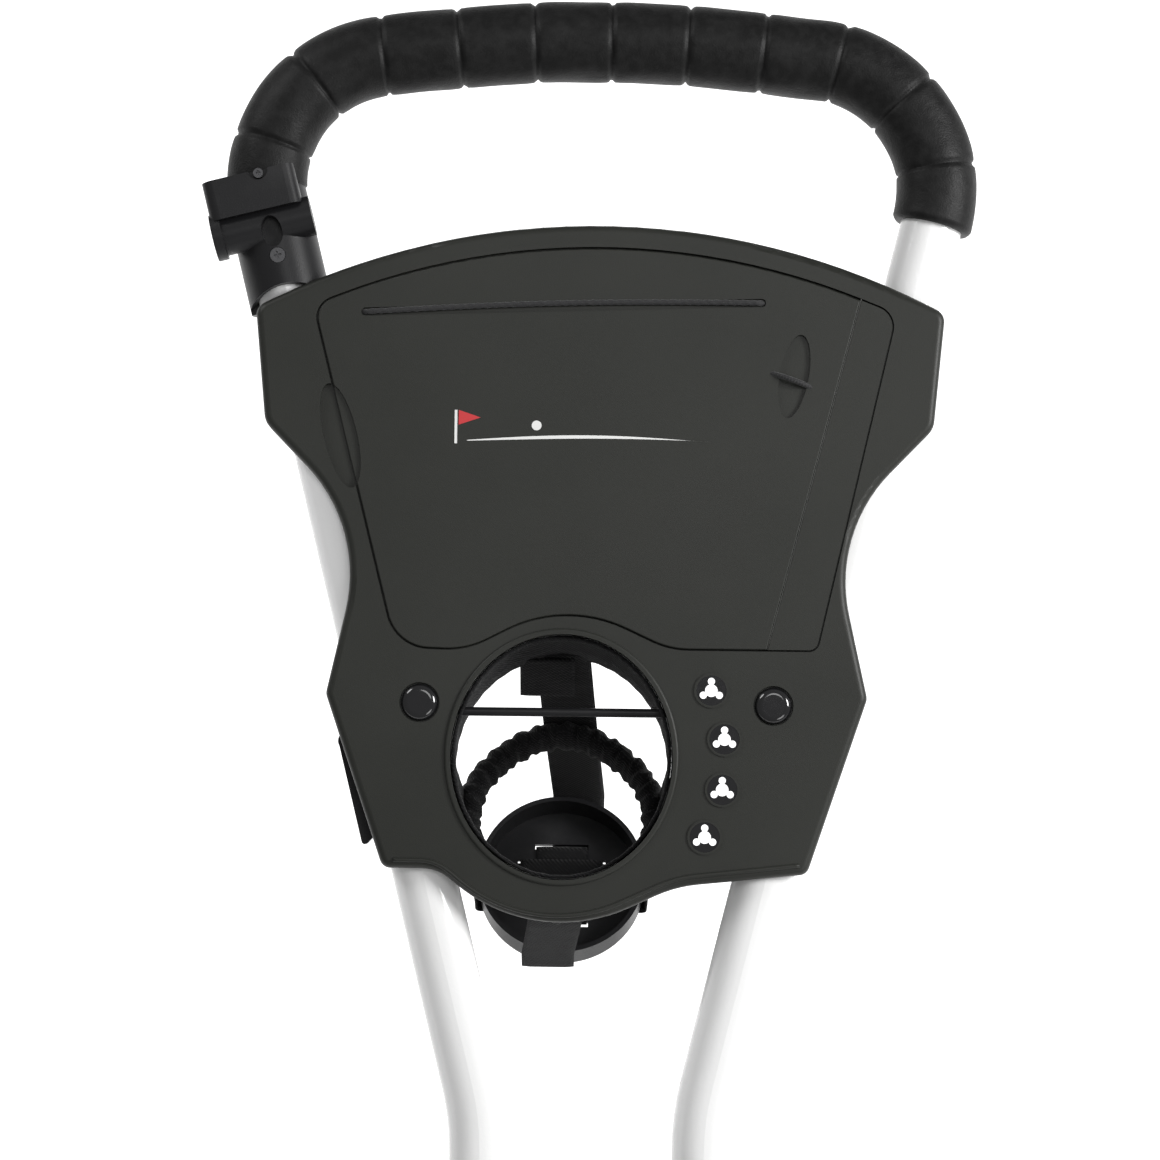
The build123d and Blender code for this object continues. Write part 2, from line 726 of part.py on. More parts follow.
with BuildPart() as leg_hinge_lug:
    with BuildSketch(
        Plane(origin=pivot + main_dir * (leg_hinge_reach - 18), x_dir=right, z_dir=main_dir)
    ):
        Circle(main_radius + 4)
        with Locations((0, -leg_hinge_drop / 2)):
            Rectangle(26, leg_hinge_drop)
        Circle(main_radius, mode=Mode.SUBTRACT)
    extrude(amount=36)
    with BuildSketch(Plane(origin=leg_hinge - right * 13, x_dir=(0, 1, 0), z_dir=right)):
        Circle(13)
        Circle(leg_pin, mode=Mode.SUBTRACT)
    extrude(amount=26)
    with BuildSketch(Plane(origin=leg_hinge - right * 20, x_dir=(0, 1, 0), z_dir=right)):
        Circle(leg_pin)
    extrude(amount=40, mode=Mode.SUBTRACT)
save(leg_hinge_lug, "leg_hinge_lug")

with BuildPart() as leg_bolt:
    with BuildSketch(Plane(origin=leg_hinge - right * 42, x_dir=(0, 1, 0), z_dir=right)):
        Circle(leg_pin)
    extrude(amount=84)
    for sign in (-1, 1):
        with BuildSketch(
            Plane(origin=leg_hinge + right * (sign * 40), x_dir=(0, 1, 0), z_dir=right * sign)
        ):
            Circle(leg_pin + 4)
        extrude(amount=4)
save(leg_bolt, "leg_bolt")

# ---- rear frame ---------------------------------------------------------------------------
leg_top_x = 27
leg_foot_x = track / 2 - tyre_width / 2 - 26
rear_hub = Vector(0, rear_hub_y, rear_radius)
leg_middle = 0.60
with BuildPart() as leg_knuckles:
    for sign in (-1, 1):
        with BuildSketch(
            Plane(origin=leg_hinge + right * (sign * 14), x_dir=(0, 1, 0), z_dir=right * sign)
        ):
            Circle(16)
        extrude(amount=25)
        with BuildSketch(
            Plane(origin=leg_hinge + right * (sign * 10), x_dir=(0, 1, 0), z_dir=right * sign)
        ):
            Circle(leg_pin + running)
        extrude(amount=40, mode=Mode.SUBTRACT)


def leg_axis(sign):
    """Top and foot of one leg's centre line."""
    return leg_hinge + right * (sign * leg_top_x), rear_hub + right * (sign * leg_foot_x)


def leg_solid(sign, radius, start=0.0, spare=0.0):
    top, foot = leg_axis(sign)
    run = foot - top
    with BuildSketch(Plane(origin=top + run.normalized() * start, z_dir=run)) as section:
        Circle(radius)
    extrude(section.sketch, amount=run.length - start - spare)


with BuildPart() as leg_bores:
    for sign in (-1, 1):
        leg_solid(sign, leg_radius - tube_wall, 10, 0)

with BuildPart() as rear_legs:
    for sign in (-1, 1):
        leg_solid(sign, leg_radius, 20, 6)
    add(leg_bores.part, mode=Mode.SUBTRACT)
save(rear_legs, "rear_legs")

with BuildPart() as leg_tops:
    add(leg_knuckles.part)
    for sign in (-1, 1):
        leg_top, leg_foot = leg_axis(sign)
        leg_run = (leg_foot - leg_top).normalized()
        with BuildSketch(Plane(origin=leg_top + leg_run * 2, z_dir=leg_run)):
            Circle(leg_radius + 3)
        extrude(amount=44)
    with BuildSketch(Plane(origin=leg_hinge - right * 13.6, x_dir=(0, 1, 0), z_dir=right)):
        Circle(60)
    extrude(amount=27.2, mode=Mode.SUBTRACT)
    for sign in (-1, 1):
        leg_top, leg_foot = leg_axis(sign)
        leg_run = (leg_foot - leg_top).normalized()
        with BuildSketch(Plane(origin=leg_top + leg_run * 20, z_dir=leg_run)):
            Circle(leg_radius)
        extrude(amount=60, mode=Mode.SUBTRACT)
    with BuildSketch(Plane(origin=leg_hinge - right * 60, x_dir=(0, 1, 0), z_dir=right)):
        Circle(leg_pin + running)
    extrude(amount=120, mode=Mode.SUBTRACT)
    for sign in (-1, 1):
        with BuildSketch(
            Plane(origin=leg_hinge + right * (sign * 39.4), x_dir=(0, 1, 0), z_dir=right * sign)
        ):
            Circle(leg_pin + 4.6)
        extrude(amount=20, mode=Mode.SUBTRACT)
save(leg_tops, "leg_tops")

with BuildPart() as rear_crossbar:
    left_top, left_foot = leg_axis(-1)
    right_top, right_foot = leg_axis(1)
    bar_left = left_top + (left_foot - left_top) * leg_middle
    bar_right = right_top + (right_foot - right_top) * leg_middle
    with BuildSketch(Plane(origin=bar_left, x_dir=(0, 1, 0), z_dir=right)):
        Circle(8)
    extrude(amount=(bar_right - bar_left).length)
    for sign in (-1, 1):
        leg_top, leg_foot = leg_axis(sign)
        leg_run = (leg_foot - leg_top).normalized()
        bar_end = leg_top + (leg_foot - leg_top) * leg_middle
        with BuildSketch(Plane(origin=bar_end - leg_run * 14, z_dir=leg_run)):
            Circle(leg_radius + 3)
        extrude(amount=28)
    for sign in (-1, 1):
        leg_top, leg_foot = leg_axis(sign)
        leg_run = (leg_foot - leg_top).normalized()
        with BuildSketch(Plane(origin=leg_top, z_dir=leg_run)):
            Circle(leg_radius)
        extrude(amount=700, mode=Mode.SUBTRACT)
save(rear_crossbar, "rear_crossbar")

hub_half = 26
axle_out = track / 2 + hub_half + 6
with BuildPart() as axle_feet:
    for sign in (-1, 1):
        leg_top, leg_foot = leg_axis(sign)
        leg_run = (leg_foot - leg_top).normalized()
        with BuildSketch(
            Plane(origin=leg_foot - right * (sign * 16), x_dir=(0, 1, 0), z_dir=right * sign)
        ):
            Circle(16)
        extrude(amount=30)
        with BuildSketch(Plane(origin=leg_foot - leg_run * 46, z_dir=leg_run)):
            Circle(leg_radius + 3)
        extrude(amount=40)
    brake_foot = rear_hub + right * leg_foot_x + Vector(0, brake_circle, 0)
    with BuildSketch(Plane(origin=brake_foot - right * 8, x_dir=(0, 1, 0), z_dir=right)):
        with Locations((-brake_circle / 2, 0)):
            Rectangle(brake_circle, 14)
        Circle(10)
    extrude(amount=22)
    with BuildSketch(Plane(origin=brake_foot - right * 30, x_dir=(0, 1, 0), z_dir=right)):
        Circle(brake_pin_radius + clear)
    extrude(amount=80, mode=Mode.SUBTRACT)
    for sign in (-1, 1):
        leg_top, leg_foot = leg_axis(sign)
        leg_run = (leg_foot - leg_top).normalized()
        with BuildSketch(Plane(origin=leg_foot - leg_run * 80, z_dir=leg_run)):
            Circle(leg_radius)
        extrude(amount=74, mode=Mode.SUBTRACT)
        with BuildSketch(
            Plane(origin=leg_foot - right * (sign * 2), x_dir=(0, 1, 0), z_dir=right * sign)
        ):
            Circle(axle_radius)
        extrude(amount=40, mode=Mode.SUBTRACT)
save(axle_feet, "axle_feet")

with BuildPart() as rear_axles:
    for sign in (-1, 1):
        leg_top, leg_foot = leg_axis(sign)
        with BuildSketch(
            Plane(origin=leg_foot - right * (sign * 2), x_dir=(0, 1, 0), z_dir=right * sign)
        ):
            Circle(axle_radius)
        extrude(amount=axle_out - leg_foot_x + 2)
save(rear_axles, "rear_axles")

# ---- wheels -------------------------------------------------------------------------------
bearing_radius = 11
bearing_width = 8


def wheel(hub, radius, name, outward, braked):
    """Tyre, five-spoke rim, two bearings and a cap on one axle. The axle runs along X."""
    mid = Plane(origin=hub, x_dir=(0, 1, 0), z_dir=right)
    seat = radius - tyre_depth
    with BuildPart() as tyre:
        with BuildSketch(Plane(origin=hub, x_dir=right, z_dir=(0, -1, 0))):
            with BuildLine():
                Polyline(
                    (-tyre_width / 2 + 5, seat),
                    (-tyre_width / 2, seat + 8),
                    (-tyre_width / 2, radius - 10),
                )
                ThreePointArc(
                    (-tyre_width / 2, radius - 10), (0, radius), (tyre_width / 2, radius - 10)
                )
                Polyline(
                    (tyre_width / 2, radius - 10),
                    (tyre_width / 2, seat + 8),
                    (tyre_width / 2 - 5, seat),
                    (-tyre_width / 2 + 5, seat),
                )
            make_face()
        revolve(axis=Axis(hub, right))
    save(tyre, f"{name}_tyre")
    with BuildPart() as rim:
        with BuildSketch(mid.offset(-tyre_width / 2 + 5)):
            Circle(seat)
            Circle(seat - 6, mode=Mode.SUBTRACT)
        extrude(amount=tyre_width - 10)
        with BuildSketch(mid.offset(-hub_half)):
            Circle(bearing_radius + 6)
        extrude(amount=2 * hub_half)
        with BuildSketch(mid.offset(-9)):
            with PolarLocations((seat + 10) / 2, 5, 90):
                Rectangle(seat - 16, 18)
        extrude(amount=18)
        if braked:
            with BuildSketch(mid.offset(-outward * (hub_half - 4))):
                Circle(brake_circle + 10)
            extrude(amount=-outward * 4)
        with BuildSketch(mid.offset(-hub_half - 1)):
            Circle(axle_radius + 2)
        extrude(amount=2 * hub_half + 2, mode=Mode.SUBTRACT)
        for end in (-1, 1):
            with BuildSketch(mid.offset(end * hub_half)):
                Circle(bearing_radius)
            extrude(amount=-end * bearing_width, mode=Mode.SUBTRACT)
        if braked:
            with BuildSketch(mid.offset(-outward * (hub_half + 2))):
                with PolarLocations(brake_circle, brake_holes):
                    Circle(brake_hole_radius)
            extrude(amount=outward * 8, mode=Mode.SUBTRACT)
    save(rim, f"{name}_rim")
    with BuildPart() as bearings:
        for end in (-1, 1):
            with BuildSketch(mid.offset(end * hub_half)):
                Circle(bearing_radius)
                Circle(axle_radius + running, mode=Mode.SUBTRACT)
            extrude(amount=-end * bearing_width)
    save(bearings, f"{name}_bearings")


wheel(rear_hub - right * (track / 2), rear_radius, "rear_left", -1, False)
wheel(rear_hub + right * (track / 2), rear_radius, "rear_right", 1, True)
wheel(front_hub, front_radius, "front", 1, False)

with BuildPart() as hub_caps:
    for sign in (-1, 1):
        cap = Plane(
            origin=rear_hub + right * (sign * (track / 2 + hub_half + 1)),
            x_dir=(0, 1, 0),
            z_dir=right * sign,
        )
        with BuildSketch(cap):
            Circle(14)
        extrude(amount=9)
        rims = hub_caps.edges().filter_by(GeomType.CIRCLE).sort_by(Axis.X)
        fillet(rims[-1 if sign > 0 else 0], 3)
        with BuildSketch(cap):
            Circle(axle_radius)
        extrude(amount=5, mode=Mode.SUBTRACT)
save(hub_caps, "hub_caps")

# ---- parking brake ------------------------------------------------------------------------
disc_face = track / 2 - hub_half
pin_start = brake_foot.X - 20
with BuildPart() as brake_pin:
    with BuildSketch(
        Plane(origin=Vector(pin_start, brake_foot.Y, brake_foot.Z), x_dir=(0, 1, 0), z_dir=right)
    ):
        Circle(brake_pin_radius)
    extrude(amount=disc_face - 2 - pin_start)
    with BuildSketch(
        Plane(origin=Vector(pin_start, brake_foot.Y, brake_foot.Z), x_dir=(0, 1, 0), z_dir=right)
    ):
        Circle(6)
    extrude(amount=-3)
save(brake_pin, "brake_pin")

pedal_x = bar_right.X - 60
pedal_plane = Plane(
    origin=Vector(pedal_x, bar_right.Y, bar_right.Z), x_dir=(0, 1, 0), z_dir=right
)
with BuildPart() as brake_pedal:
    with BuildSketch(pedal_plane):
        Circle(12)
        with Locations((38, -4)):
            Rectangle(60, 7)
    extrude(amount=34)
    with BuildSketch(pedal_plane.offset(-5)):
        Circle(8 + running)
    extrude(amount=60, mode=Mode.SUBTRACT)
save(brake_pedal, "brake_pedal")

# ---- front fork ---------------------------------------------------------------------------
fork_half = hub_half + 4
fork_plate = 7
fork_plane = Plane(origin=pivot, x_dir=main_dir, z_dir=right)
with BuildPart() as front_fork:
    with BuildSketch(fork_plane.offset(-fork_half - fork_plate)):
        with Locations((crown_reach - 10, 0)):
            Rectangle(20, 40)
    extrude(amount=2 * (fork_half + fork_plate))
    with BuildSketch(across_main(crown_reach - 60)):
        Circle(main_radius + 4)
    extrude(amount=50)
    with BuildSketch(across_main(crown_reach - 70)):
        Circle(main_radius)
    extrude(amount=58, mode=Mode.SUBTRACT)
    for sign in (-1, 1):
        with BuildSketch(fork_plane.offset(sign * fork_half)):
            with Locations(((crown_reach + main_length) / 2 - 5, 0)):
                Rectangle(main_length - crown_reach + 10, 30)
            with Locations((main_length, 0)):
                Circle(15)
                Circle(axle_radius, mode=Mode.SUBTRACT)
        extrude(amount=sign * fork_plate)
save(front_fork, "front_fork")

with BuildPart() as front_axle:
    with BuildSketch(Plane(origin=front_hub - right * 42, x_dir=(0, 1, 0), z_dir=right)):
        Circle(axle_radius)
    extrude(amount=84)
    for sign in (-1, 1):
        with BuildSketch(
            Plane(
                origin=front_hub + right * (sign * (fork_half + fork_plate)),
                x_dir=(0, 1, 0),
                z_dir=right * sign,
            )
        ):
            RegularPolygon(9, 6)
        extrude(amount=6)
save(front_axle, "front_axle")

# ---- bag cradles and straps ---------------------------------------------------------------
cradle_half = 66
cradle_arm = 6
cradle_width = 30
cradle_rise = 50
cradle_reach = 80


def cradle(frame, low, rise):
    """U-shaped saddle: a cross base and two arms, in a plane whose y is up off the frame."""
    with BuildSketch(frame.offset(-cradle_width / 2)) as saddle:
        with Locations((0, low + 3)):
            Rectangle(2 * cradle_half, 6)
        with Locations((cradle_half, (low + rise) / 2), (-cradle_half, (low + rise) / 2)):
            Rectangle(cradle_arm, rise - low)
    extrude(saddle.sketch, amount=cradle_width)


upper_frame = Plane(origin=pivot + deck_dir * cradle_reach, x_dir=-right, z_dir=deck_dir)
with BuildPart() as upper_cradle:
    cradle(upper_frame, -handle_radius - 7, cradle_rise)
    for sign in (-1, 1):
        with BuildSketch(upper_frame.offset(-cradle_width / 2)):
            with Locations((sign * handle_half_gap, 0)):
                Circle(handle_radius + 3)
        extrude(amount=cradle_width)
    add(handle_core.part, mode=Mode.SUBTRACT)
save(upper_cradle, "upper_cradle")

lower_reach = 520
lower_frame = Plane(origin=pivot + main_dir * lower_reach, x_dir=right, z_dir=main_dir)
with BuildPart() as lower_cradle:
    cradle(lower_frame, main_radius + 1, main_radius + 56)
    with BuildSketch(lower_frame.offset(-cradle_width / 2)):
        Circle(main_radius + 4)
    extrude(amount=cradle_width)
    with BuildSketch(lower_frame.offset(-cradle_width)):
        Circle(main_radius)
    extrude(amount=2 * cradle_width, mode=Mode.SUBTRACT)
save(lower_cradle, "lower_cradle")

with BuildPart() as bag_rest:
    rest_plane = Plane(origin=pivot + main_dir * (crown_reach - 26), x_dir=right, z_dir=main_dir)
    with BuildSketch(rest_plane):
        Circle(main_radius + 8)
        with Locations((0, 62)):
            RectangleRounded(120, 90, 12)
    extrude(amount=6)
    with BuildSketch(rest_plane.offset(-10)):
        Circle(main_radius + 4)
    extrude(amount=40, mode=Mode.SUBTRACT)
save(bag_rest, "bag_rest")
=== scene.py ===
"""Golf push trolley: the looks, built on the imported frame."""

import json
from math import cos, pi, radians, sin, tan

import bpy
from mathutils import Matrix, Quaternion, Vector


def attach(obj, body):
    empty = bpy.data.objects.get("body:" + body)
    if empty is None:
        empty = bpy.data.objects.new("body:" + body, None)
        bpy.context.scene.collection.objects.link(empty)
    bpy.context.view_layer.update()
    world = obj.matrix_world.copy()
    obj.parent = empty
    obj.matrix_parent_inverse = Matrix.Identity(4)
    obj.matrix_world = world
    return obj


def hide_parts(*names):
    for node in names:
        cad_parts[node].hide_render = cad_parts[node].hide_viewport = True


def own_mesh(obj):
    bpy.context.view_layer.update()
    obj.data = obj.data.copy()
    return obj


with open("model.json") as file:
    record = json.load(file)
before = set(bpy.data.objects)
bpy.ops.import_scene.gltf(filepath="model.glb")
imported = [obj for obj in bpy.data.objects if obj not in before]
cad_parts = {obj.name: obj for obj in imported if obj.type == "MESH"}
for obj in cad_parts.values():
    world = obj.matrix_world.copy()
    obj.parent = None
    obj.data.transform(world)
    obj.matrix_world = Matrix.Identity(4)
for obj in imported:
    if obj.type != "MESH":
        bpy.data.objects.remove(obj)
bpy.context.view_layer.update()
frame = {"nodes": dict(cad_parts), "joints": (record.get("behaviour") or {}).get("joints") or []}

# ---- Camera --------------------------------------------------------------------------------
# The handle's own axes, which most pieces below are placed by: u to the right, v up along
# the handle from the console's foot, h off its face. The lens looks down on the console.
MM = 0.001
joints = {joint["name"]: joint for joint in frame["joints"]}
HANDLE_SLOPE = radians(23)
CONSOLE_REACH = 245 * MM
along = Vector((0, cos(HANDLE_SLOPE), sin(HANDLE_SLOPE)))
off = Vector((0, -sin(HANDLE_SLOPE), cos(HANDLE_SLOPE)))
across = Vector((1, 0, 0))
pivot = Vector(joints["handle_fold"]["pos_m"])


def deck(u, v, h=0.0):
    """A point on the handle, from its place in millimetres."""
    return pivot + across * (u * MM) + along * (CONSOLE_REACH + v * MM) + off * (h * MM)


CAMERA_ELEVATION = radians(63)
CAMERA_DISTANCE = 1.45
LENS_MM = 101.2
AIM_AT = (-7.9, 135.5, 20)
CAMERA_ROLL = radians(0.63)
camera_data = bpy.data.cameras.new("camera")
camera = bpy.data.objects.new("camera", camera_data)
bpy.context.scene.collection.objects.link(camera)
bpy.context.scene.camera = camera
camera_data.lens = LENS_MM
camera_data.sensor_width = 36
camera_data.clip_end = 50
aim = deck(*AIM_AT)
back = Vector((0, -cos(CAMERA_ELEVATION), sin(CAMERA_ELEVATION)))
camera.location = aim + back * CAMERA_DISTANCE
camera.rotation_mode = "QUATERNION"
camera.rotation_quaternion = (-back).to_track_quat("-Z", "Y") @ Quaternion((0, 0, 1), CAMERA_ROLL)

# ---- Studio --------------------------------------------------------------------------------
# A white sweep under broad soft lights, so the trolley stands on plain white.
world = bpy.data.worlds.new("studio")
bpy.context.scene.world = world
world.use_nodes = True
world.node_tree.nodes["Background"].inputs["Color"].default_value = (1, 1, 1, 1)
world.node_tree.nodes["Background"].inputs["Strength"].default_value = 0.24
bpy.context.scene.view_settings.view_transform = "Standard"


def soft_light(name, place, target, size, power):
    data = bpy.data.lights.new(name, "AREA")
    data.shape = "DISK"
    data.size = size
    data.energy = power
    light = bpy.data.objects.new(name, data)
    bpy.context.scene.collection.objects.link(light)
    light.location = place
    light.rotation_euler = (Vector(target) - Vector(place)).to_track_quat("-Z", "Y").to_euler()
    return light


soft_light("key", (1.7, 0.3, 2.1), (0, 0.3, 0.8), 0.8, 40)
soft_light("fill", (-1.4, 1.3, 2.2), (0, 0.4, 0.8), 0.8, 12)
soft_light("sheen", (0.25, 0.05, 2.9), (0, 0.35, 0.9), 0.7, 5)
soft_light("front", (0.9, -1.2, 1.8), (0, 0.1, 0.8), 0.8, 6)


# Shader sums are written as Python sums: Socket wraps one node output.
class Socket:
    def __init__(self, tree, source):
        self.tree = tree
        self.source = source

    def node(self, kind, settings=(), output=0, **inputs):
        made = self.tree.nodes.new(kind)
        for key, value in dict(settings).items():
            setattr(made, key, value)
        for key, value in inputs.items():
            name = key.replace("_", " ")
            numbered = key.startswith("in") and key[2:].isdigit()
            slot = made.inputs[int(key[2:]) if numbered else name]
            if isinstance(value, Socket):
                self.tree.links.new(value.source, slot)
            else:
                slot.default_value = value
        return Socket(self.tree, made.outputs[output])

    def math(self, operation, first, second=0.0):
        return self.node("ShaderNodeMath", {"operation": operation}, in0=first, in1=second)

    def __add__(self, other):
        return self.math("ADD", self, other)

    __radd__ = __add__

    def __mul__(self, other):
        return self.math("MULTIPLY", self, other)

    __rmul__ = __mul__

    def __sub__(self, other):
        return self.math("SUBTRACT", self, other)

    def __rsub__(self, other):
        return self.math("SUBTRACT", other, self)

    def clamped(self, low, high):
        return self.node(
            "ShaderNodeMapRange", {"clamp": True}, From_Min=low, From_Max=high, Value=self
        )


def finish_of(name, base, rough, metallic=0.0, coat=0.0, sheen=0.0, gloss=0.5):
    """A new material: returns it, its shader and a wrapped Object coordinate."""
    material = bpy.data.materials.new(name)
    material.use_nodes = True
    tree = material.node_tree
    shader = tree.nodes["Principled BSDF"]
    shader.inputs["Base Color"].default_value = (*base, 1)
    shader.inputs["Roughness"].default_value = rough
    shader.inputs["Metallic"].default_value = metallic
    shader.inputs["Coat Weight"].default_value = coat
    shader.inputs["Sheen Weight"].default_value = sheen
    shader.inputs["Specular IOR Level"].default_value = gloss
    place = Socket(tree, tree.nodes.new("ShaderNodeTexCoord").outputs["Object"])
    return material, shader, place


def noise(place, scale, detail=3.0):
    return place.node("ShaderNodeTexNoise", Vector=place, Scale=scale, Detail=detail)


def drive(shader, name, value):
    value.tree.links.new(value.source, shader.inputs[name])


def tint(shader, place, mask, dark, light):
    mix = place.node(
        "ShaderNodeMix", {"data_type": "RGBA"}, output=2, in0=mask, in6=(*dark, 1), in7=(*light, 1)
    )
    drive(shader, "Base Color", mix)


def relief(shader, height, depth):
    """Bump of that depth in metres."""
    bump = height.node("ShaderNodeBump", Height=height, Strength=1.0, Distance=depth)
    drive(shader, "Normal", bump)


floor_data = bpy.data.meshes.new("floor")
FLOOR = 6.0
corners = [(-FLOOR, -FLOOR, 0), (FLOOR, -FLOOR, 0), (FLOOR, FLOOR, 0), (-FLOOR, FLOOR, 0)]
floor_data.from_pydata(corners, [], [(0, 1, 2, 3)])
floor = bpy.data.objects.new("floor", floor_data)
bpy.context.scene.collection.objects.link(floor)
floor_finish, floor_shader, place = finish_of("pale_floor", (0.9, 0.9, 0.9), 0.8)
floor_shader.inputs["Emission Color"].default_value = (1, 1, 1, 1)
floor_shader.inputs["Emission Strength"].default_value = 0.75
floor_data.materials.append(floor_finish)


def dress(names, material):
    """Give CAD nodes a finish."""
    for name in names:
        mesh = frame["nodes"][name].data
        mesh.materials.clear()
        mesh.materials.append(material)


# ---- White painted tubes -------------------------------------------------------------------
# Steel tube, bent and sprayed with gloss white powder, which leaves a faint orange peel.
paint, shader, place = finish_of("white_paint", (0.88, 0.88, 0.875), 0.2, coat=0.1, gloss=0.35)
peel = noise(place, 420, 2)
blotch = noise(place, 9, 3)
tint(shader, place, blotch.clamped(0.35, 0.7), (0.86, 0.86, 0.855), (0.90, 0.90, 0.90))
drive(shader, "Roughness", peel * 0.08 + 0.13)
relief(shader, peel, 0.00006)
dress(["handle_tube", "main_tube", "rear_legs", "rear_crossbar"], paint)

# ---- Console mouldings ---------------------------------------------------------------------
# Charcoal ABS out of a spark-eroded mould: a very fine grain and a soft even sheen.
charcoal, shader, place = finish_of("console_plastic", (0.022, 0.023, 0.0195), 0.46, gloss=0.32)
grain = noise(place, 2600, 2)
cloud = noise(place, 14, 4)
tint(shader, place, cloud.clamped(0.3, 0.75), (0.0185, 0.0195, 0.0165), (0.0245, 0.0255, 0.022))
drive(shader, "Roughness", grain * 0.12 + cloud * 0.06 + 0.36)
relief(shader, grain, 0.00005)
dress(["console_shell", "console_tray", "scorecard_lid", "lid_hinge_strip"], charcoal)

# ---- Black fittings ------------------------------------------------------------------------
# Glass-filled nylon: satin black with a slight grain and paler rubbed patches.
satin, shader, place = finish_of("black_plastic", (0.013, 0.013, 0.014), 0.42, gloss=0.32)
grain = noise(place, 1500, 2)
rub = noise(place, 38, 5)
tint(shader, place, rub.clamped(0.55, 0.8), (0.010, 0.010, 0.011), (0.021, 0.021, 0.022))
drive(shader, "Roughness", grain * 0.14 + rub * 0.08 + 0.30)
relief(shader, grain, 0.00005)
dress(
    [
        "joint_housing", "handle_knuckles", "umbrella_bracket", "fold_catch", "catch_clip",
        "upper_cradle", "lower_cradle", "bag_rest", "leg_hinge_lug", "leg_tops", "axle_feet",
        "hub_caps", "brake_pedal", "console_clamps", "cup_dish", "front_fork", "fold_button",
        "cup_bar",
    ],
    satin,
)

# ---- Glossy tee inserts and bolt heads -----------------------------------------------------
# Polished black acetal, which shows the lights as small sharp highlights.
gloss, shader, place = finish_of("gloss_black", (0.010, 0.010, 0.011), 0.12, coat=0.5)
scuff = noise(place, 300, 4)
drive(shader, "Roughness", scuff * 0.12 + 0.06)
relief(shader, scuff, 0.00002)
dress(["tee_inserts", "console_bolts"], gloss)

# ---- Plated steel --------------------------------------------------------------------------
# Zinc plate: grey, slightly blotched, with fine turning marks.
zinc, shader, place = finish_of("plated_steel", (0.52, 0.52, 0.53), 0.3, metallic=1.0)
marks = noise(place, 900, 2)
drive(shader, "Roughness", marks * 0.2 + 0.2)
relief(shader, marks, 0.00003)
dress(
    [
        "pivot_bolt", "pivot_nut", "button_spring", "leg_bolt", "front_axle", "rear_axles",
        "clamp_nuts", "catch_rivet", "brake_pin", "rear_left_bearings",
        "rear_right_bearings", "front_bearings",
    ],
    zinc,
)
dark_steel, shader, place = finish_of("blackened_steel", (0.12, 0.12, 0.125), 0.4, metallic=1.0)
marks = noise(place, 900, 2)
drive(shader, "Roughness", marks * 0.2 + 0.3)
dress(["bracket_screws"], dark_steel)

# ---- Wheels --------------------------------------------------------------------------------
# White nylon rims with a faint grain, and closed-cell foam tyres with a skin.
rim_white, shader, place = finish_of("rim_plastic", (0.80, 0.80, 0.79), 0.4)
grain = noise(place, 1200, 2)
drive(shader, "Roughness", grain * 0.15 + 0.3)
relief(shader, grain, 0.00005)
tread, shader, place = finish_of("tyre_foam", (0.022, 0.022, 0.022), 0.75)
pores = noise(place, 700, 4)
tint(
    shader, place, noise(place, 20, 4).clamped(0.4, 0.75),
    (0.017, 0.017, 0.017), (0.036, 0.035, 0.033),
)
relief(shader, pores, 0.0003)
for wheel in ("rear_left", "rear_right", "front"):
    dress([wheel + "_rim"], rim_white)
    dress([wheel + "_tyre"], tread)

# ---- Foam grip -----------------------------------------------------------------------------
# A black closed-cell foam sleeve pushed over the top bar and both bends. Pressed rings
# divide it into short barrels, and hands have left shallow dents.
GRIP_RADIUS = 18.5
RING_PITCH = 34.6
SPLAY = radians(14)
BEND_V = -103.0
HALF_GAP = 49.5
CORNER_V, CROWN_V = 368.05, 386.4
CORNER_U = HALF_GAP + (CORNER_V - BEND_V) * tan(SPLAY)


def rounded(points, radii, step):
    """Points every step along a flat route whose corners have those radii."""
    route = [Vector(points[0])]
    for before, corner, after, radius in zip(points, points[1:], points[2:], radii):
        before, corner, after = Vector(before), Vector(corner), Vector(after)
        arrive, leave = (before - corner).normalized(), (after - corner).normalized()
        half = arrive.angle(leave) / 2
        reach = radius / tan(half)
        centre = corner + (arrive + leave).normalized() * (radius / sin(half))
        start, end = corner + arrive * reach - centre, corner + leave * reach - centre
        turn = start.angle_signed(end)
        count = max(3, int(abs(turn) * radius / step))
        for n in range(count + 1):
            angle = -turn * n / count
            route.append(centre + Vector((
                start.x * cos(angle) - start.y * sin(angle),
                start.x * sin(angle) + start.y * cos(angle),
            )))
    route.append(Vector(points[-1]))
    even, spare = [route[0]], 0.0
    for a, b in zip(route, route[1:]):
        length = (b - a).length
        while spare + length >= step and length > 0:
            a = a + (b - a) * ((step - spare) / length)
            length = (b - a).length
            spare = 0.0
            even.append(a)
        spare += length
    return even


def build(name, verts, faces, material, body, smooth=True):
    """A mesh piece in its finish, riding on a body."""
    data = bpy.data.meshes.new(name)
    data.from_pydata([tuple(v) for v in verts], [], faces)
    data.materials.append(material)
    data.polygons.foreach_set("use_smooth", [smooth] * len(data.polygons))
    data.validate()
    data.update()
    piece = bpy.data.objects.new(name, data)
    bpy.context.scene.collection.objects.link(piece)
    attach(piece, body)
    return piece


